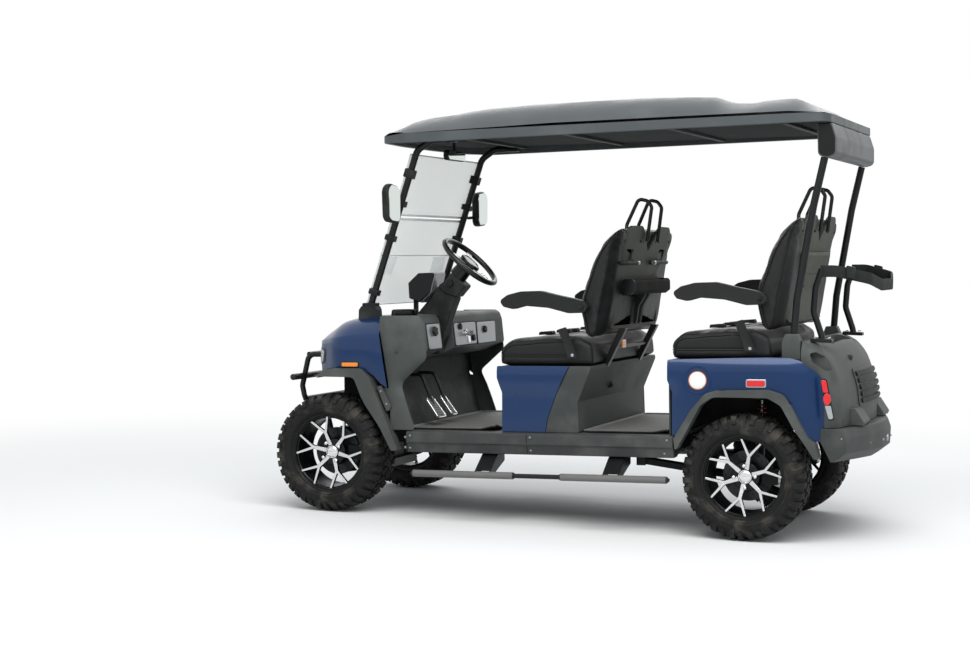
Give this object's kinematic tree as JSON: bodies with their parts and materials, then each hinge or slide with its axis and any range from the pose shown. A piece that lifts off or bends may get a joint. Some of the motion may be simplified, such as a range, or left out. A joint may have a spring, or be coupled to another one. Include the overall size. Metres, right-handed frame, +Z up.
{
  "type": "golf cart",
  "caption": "Lifted golf cart with two forward-facing benches, a moulded canopy, alloy wheels on all-terrain tyres and a tubular brush guard.",
  "frame": {"origin": "on the ground, at mid-length on the centre line", "axes": "+X to the front, +Y to the cart's left, +Z up"},
  "size_m": [2.9503, 1.37, 2.0487],
  "materials": {
    "black_steel": "satin",
    "blue_paint": "gloss",
    "grey_plastic": "matte",
    "dark_plastic": "matte",
    "roof_plastic": "satin",
    "silver_panel": "satin",
    "black_leather": "satin",
    "shell_plastic": "matte",
    "tyre_rubber": "matte",
    "mat_rubber": "matte",
    "alloy": "polished",
    "steel": "satin",
    "cast_dark": "matte",
    "spring_red": "gloss",
    "clear_pane": "clear",
    "lamp_orange": "gloss",
    "red_lens": "gloss",
    "webbing": "woven",
    "battery_case": "matte"
  },
  "bodies": {
    "chassis": {"frame": "black_steel", "coil_overs": "spring_red", "floor": "dark_plastic", "floor_mats": "mat_rubber", "sills": "grey_plastic", "step_bars": "black_steel", "hood": "blue_paint", "front_cowl": "grey_plastic", "fender_flares": "grey_plastic", "front_lamps": "lamp_orange", "brush_guard": "black_steel", "dashboard": "grey_plastic", "dash_controls": "silver_panel", "windshield_posts": "black_steel", "windshield_panes": "clear_pane", "roof": "roof_plastic", "rear_roof_posts": "black_steel", "roof_rear_box": "roof_plastic", "mirrors": "dark_plastic", "steering_column": "dark_plastic", "pedals": "steel", "front_seat_pedestal": "dark_plastic", "front_side_panels": "blue_paint", "battery": "battery_case", "seat_belts": "webbing", "seat_brackets": "black_steel", "rear_body": "blue_paint", "rear_cowl": "grey_plastic", "rear_bumper": "grey_plastic", "rear_lamps": "red_lens", "bag_holder": "webbing", "front_suspension": "black_steel", "rear_axle": "cast_dark", "front_seat_cushion": "black_leather", "front_seat_back": "black_leather", "front_seat_shell": "shell_plastic", "rear_seat_cushion": "black_leather", "rear_seat_back": "black_leather", "rear_seat_shell": "shell_plastic"},
    "wheel_front_left": {"tyre_front_left": "tyre_rubber", "wheel_front_left": "alloy"},
    "wheel_front_right": {"tyre_front_right": "tyre_rubber", "wheel_front_right": "alloy"},
    "wheel_rear_left": {"tyre_rear_left": "tyre_rubber", "wheel_rear_left": "alloy"},
    "wheel_rear_right": {"tyre_rear_right": "tyre_rubber", "wheel_rear_right": "alloy"},
    "knuckle_left": {"knuckle_left": "cast_dark"},
    "knuckle_right": {"knuckle_right": "cast_dark"},
    "steering_rack": {"steering_rack": "steel"},
    "steering_wheel": {"steering_wheel": "dark_plastic"},
    "front_armrest_left": {"front_armrest_left": "black_leather"},
    "front_armrest_right": {"front_armrest_right": "black_leather"},
    "rear_armrest_left": {"rear_armrest_left": "black_leather"},
    "rear_armrest_right": {"rear_armrest_right": "black_leather"}
  },
  "joints": [
    {"name": "spin_front_left", "type": "hinge", "parent": "knuckle_left", "child": "wheel_front_left", "pos_m": [1.1831, 0.504, 0.291], "axis": [0, 1, 0], "continuous": true},
    {"name": "spin_front_right", "type": "hinge", "parent": "knuckle_right", "child": "wheel_front_right", "pos_m": [1.1831, -0.504, 0.291], "axis": [0, 1, 0], "continuous": true},
    {"name": "spin_rear_left", "type": "hinge", "parent": "chassis", "child": "wheel_rear_left", "pos_m": [-0.9069, 0.504, 0.291], "axis": [0, 1, 0], "continuous": true},
    {"name": "spin_rear_right", "type": "hinge", "parent": "chassis", "child": "wheel_rear_right", "pos_m": [-0.9069, -0.504, 0.291], "axis": [0, 1, 0], "continuous": true},
    {"name": "steer_left", "type": "hinge", "parent": "chassis", "child": "knuckle_left", "pos_m": [1.1831, 0.425, 0.291], "axis": [0, 0, 1], "range_deg": [-30, 30]},
    {"name": "steer_right", "type": "hinge", "parent": "chassis", "child": "knuckle_right", "pos_m": [1.1831, -0.425, 0.291], "axis": [0, 0, 1], "range_deg": [-30, 30]},
    {"name": "rack_slide", "type": "slide", "parent": "chassis", "child": "steering_rack", "axis": [0, 1, 0], "range_m": [-0.0606, 0.0606]},
    {"name": "steering_wheel_turn", "type": "hinge", "parent": "chassis", "child": "steering_wheel", "pos_m": [0.57772, 0.262, 1.24811], "axis": [-0.6508, 0, 0.7593], "range_deg": [-422, 422]},
    {"name": "front_armrest_left_lift", "type": "hinge", "parent": "chassis", "child": "front_armrest_left", "pos_m": [-0.11719, 0.576, 1.05104], "axis": [0, -1, 0], "range_deg": [0, 95]},
    {"name": "front_armrest_right_lift", "type": "hinge", "parent": "chassis", "child": "front_armrest_right", "pos_m": [-0.11719, -0.576, 1.05104], "axis": [0, -1, 0], "range_deg": [0, 95]},
    {"name": "rear_armrest_left_lift", "type": "hinge", "parent": "chassis", "child": "rear_armrest_left", "pos_m": [-0.9676, 0.576, 1.11327], "axis": [0, -1, 0], "range_deg": [0, 95]},
    {"name": "rear_armrest_right_lift", "type": "hinge", "parent": "chassis", "child": "rear_armrest_right", "pos_m": [-0.9676, -0.576, 1.11327], "axis": [0, -1, 0], "range_deg": [0, 95]}
  ],
  "couplings": [
    {"joint": "steer_right", "follows": "steer_left", "ratio": 1},
    {"joint": "rack_slide", "follows": "steer_left", "m_per_rad": 0.112},
    {"joint": "steering_wheel_turn", "follows": "steer_left", "ratio": 14}
  ]
}
